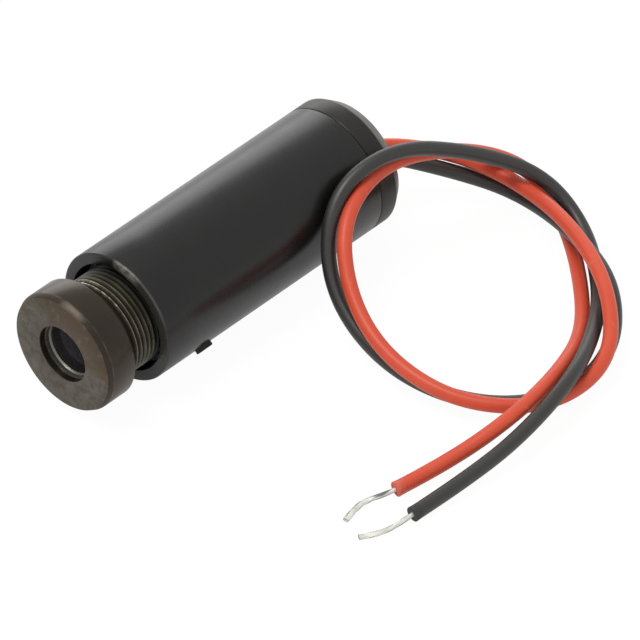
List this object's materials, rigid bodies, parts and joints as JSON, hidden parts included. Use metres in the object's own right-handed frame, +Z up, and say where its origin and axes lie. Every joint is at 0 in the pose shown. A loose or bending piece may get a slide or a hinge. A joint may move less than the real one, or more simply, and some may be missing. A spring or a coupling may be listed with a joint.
{
  "type": "laser diode module",
  "caption": "Cylindrical laser diode module with a screw-in focusing head, a flush rear cap and a red and a black lead with tinned ends.",
  "frame": {"origin": "on the floor under the middle of the module's length, with the module lying on its housing", "axes": "+Y along the optical axis from the lens to the lead exit, so the beam leaves along -Y; +Z up; +X to the side that the leads lie on"},
  "size_m": [0.0379, 0.0472, 0.012],
  "materials": {
    "black_anodise": "satin black anodised, faintly blue",
    "cap_black": "satin black, slightly warmer than the housing",
    "seal_resin": "cast black resin",
    "black_steel": "blackened",
    "blackened_brass": "blackened and rubbed brown",
    "lens_plastic": "clear with a purple coating",
    "spring_steel": "bright drawn wire",
    "plain_brass": "turned",
    "gold_plate": "thin gold plating",
    "nickel_steel": "nickel plated",
    "window_glass": "clear",
    "chip_grey": "polished",
    "board_green": "green solder resist",
    "black_moulding": "moulded epoxy",
    "tantalum_case": "moulded epoxy",
    "ceramic": "glazed",
    "red_vinyl": "matt orange-red insulation",
    "black_vinyl": "matt black insulation",
    "tinned_copper": "tinned strands"
  },
  "bodies": {
    "module": {"housing_tube": "black_anodise", "rear_cap": "cap_black", "wire_seal": "seal_resin", "lock_screw": "black_steel", "focus_spring": "spring_steel", "diode_mount": "plain_brass", "diode_base": "gold_plate", "diode_can": "nickel_steel", "diode_window": "window_glass", "laser_chip": "chip_grey", "diode_pins": "gold_plate", "driver_board": "board_green", "driver_chip": "black_moulding", "transistor": "black_moulding", "capacitor": "tantalum_case", "resistors": "ceramic", "red_lead": "red_vinyl", "black_lead": "black_vinyl", "red_tinned_end": "tinned_copper", "black_tinned_end": "tinned_copper", "red_soldered_end": "tinned_copper", "black_soldered_end": "tinned_copper"},
    "focus_slide": {"thrust_washer": "spring_steel"},
    "focus_head": {"focus_barrel": "blackened_brass", "collimating_lens": "lens_plastic", "lens_retainer": "blackened_brass"}
  },
  "joints": [
    {"name": "focus_travel", "type": "slide", "parent": "module", "child": "focus_slide", "axis": [0, 1, 0], "range_m": [-0.001, 0.003], "deforming": ["focus_spring"]},
    {"name": "focus_turn", "type": "hinge", "parent": "focus_slide", "child": "focus_head", "pos_m": [0, -0.009, 0.006], "axis": [0, 1, 0], "range_deg": [-720, 2160]}
  ],
  "couplings": [
    {"joint": "focus_travel", "follows": "focus_turn", "m_per_rad": 0.000079577}
  ]
}
